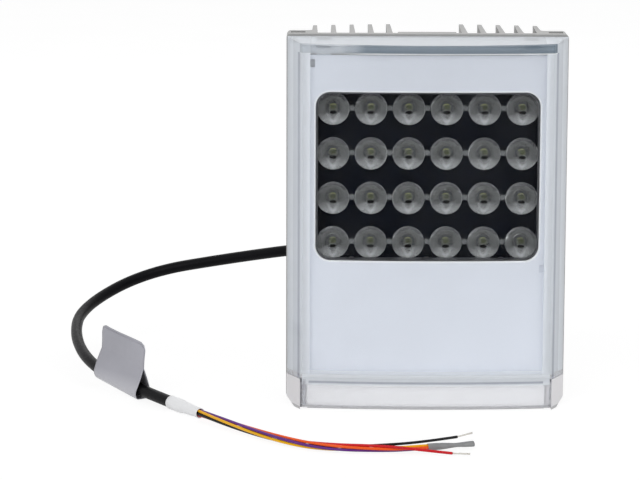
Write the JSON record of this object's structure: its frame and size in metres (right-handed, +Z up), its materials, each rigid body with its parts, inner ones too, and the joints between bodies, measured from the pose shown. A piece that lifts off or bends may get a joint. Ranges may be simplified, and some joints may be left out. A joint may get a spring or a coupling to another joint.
{
  "type": "white light illuminator",
  "caption": "Rectangular LED floodlight for a security camera: finned aluminium housing, clear bevelled front cover over a lens array, white fascia and a rear connection cable.",
  "frame": {"origin": "middle of the underside of the housing, without the cable", "axes": "+X to the right seen from the front, -Y out of the lit front, +Z up, along the fins"},
  "size_m": [0.2484, 0.2706, 0.18],
  "materials": {
    "housing_aluminium": "pale grey powder coat, fine texture",
    "clear_plastic": "clear moulded polycarbonate, glossy",
    "seal_rubber": "dark silicone, satin",
    "white_plastic": "fine satin moulding",
    "black_plastic": "satin",
    "lens_acrylic": "clear optical acrylic",
    "led_phosphor": "yellow phosphor in clear silicone",
    "board_black": "black solder mask",
    "pad_grey": "soft thermal pad",
    "board_green": "green solder mask",
    "screw_steel": "stainless",
    "ferrite_black": "matt ferrite",
    "component_black": "moulded package",
    "terminal_green": "moulded",
    "connector_white": "moulded",
    "capacitor_aluminium": "plain can",
    "washer_rubber": "matt",
    "gland_plastic": "black polyamide",
    "gland_rubber": "matt",
    "cable_black": "soft jacket, satin",
    "wire_black": "thin insulation",
    "wire_red": "thin insulation",
    "wire_orange": "thin insulation",
    "wire_violet": "thin insulation",
    "wire_yellow": "thin insulation",
    "tinned_copper": "tinned strands",
    "splice_grey": "heat-shrunk sleeve",
    "sleeve_white": "heat-shrunk sleeve",
    "label_film": "silver-grey film"
  },
  "bodies": {
    "root": {"housing": "housing_aluminium", "front_cover": "clear_plastic", "cover_seal": "seal_rubber", "bottom_cap": "white_plastic", "fascia": "white_plastic", "window_bezel": "black_plastic", "led_board": "board_black", "thermal_pad": "pad_grey", "led_board_screws": "screw_steel", "driver_board": "board_green", "driver_spacers": "screw_steel", "power_inductors": "ferrite_black", "power_transistors": "component_black", "controller_chip": "component_black", "terminal_block": "terminal_green", "led_connector": "connector_white", "smoothing_capacitors": "capacitor_aluminium", "driver_screws": "screw_steel", "sealing_washers": "washer_rubber", "cover_screws": "screw_steel", "cap_screws": "screw_steel", "gland_body": "gland_plastic", "gland_washer": "gland_rubber", "gland_seal": "gland_rubber", "gland_locknut": "gland_plastic", "gland_nut": "gland_plastic", "power_cable": "cable_black", "wire_black": "wire_black", "wire_red": "wire_red", "wire_orange": "wire_orange", "wire_violet": "wire_violet", "wire_yellow": "wire_yellow", "strand_black": "tinned_copper", "strand_red": "tinned_copper", "splice_sleeve": "splice_grey", "end_sleeve": "sleeve_white", "flag_label": "label_film", "lens_row_1": "lens_acrylic", "led_row_1": "led_phosphor", "lens_row_2": "lens_acrylic", "led_row_2": "led_phosphor", "lens_row_3": "lens_acrylic", "led_row_3": "led_phosphor", "lens_row_4": "lens_acrylic", "led_row_4": "led_phosphor"}
  },
  "joints": []
}
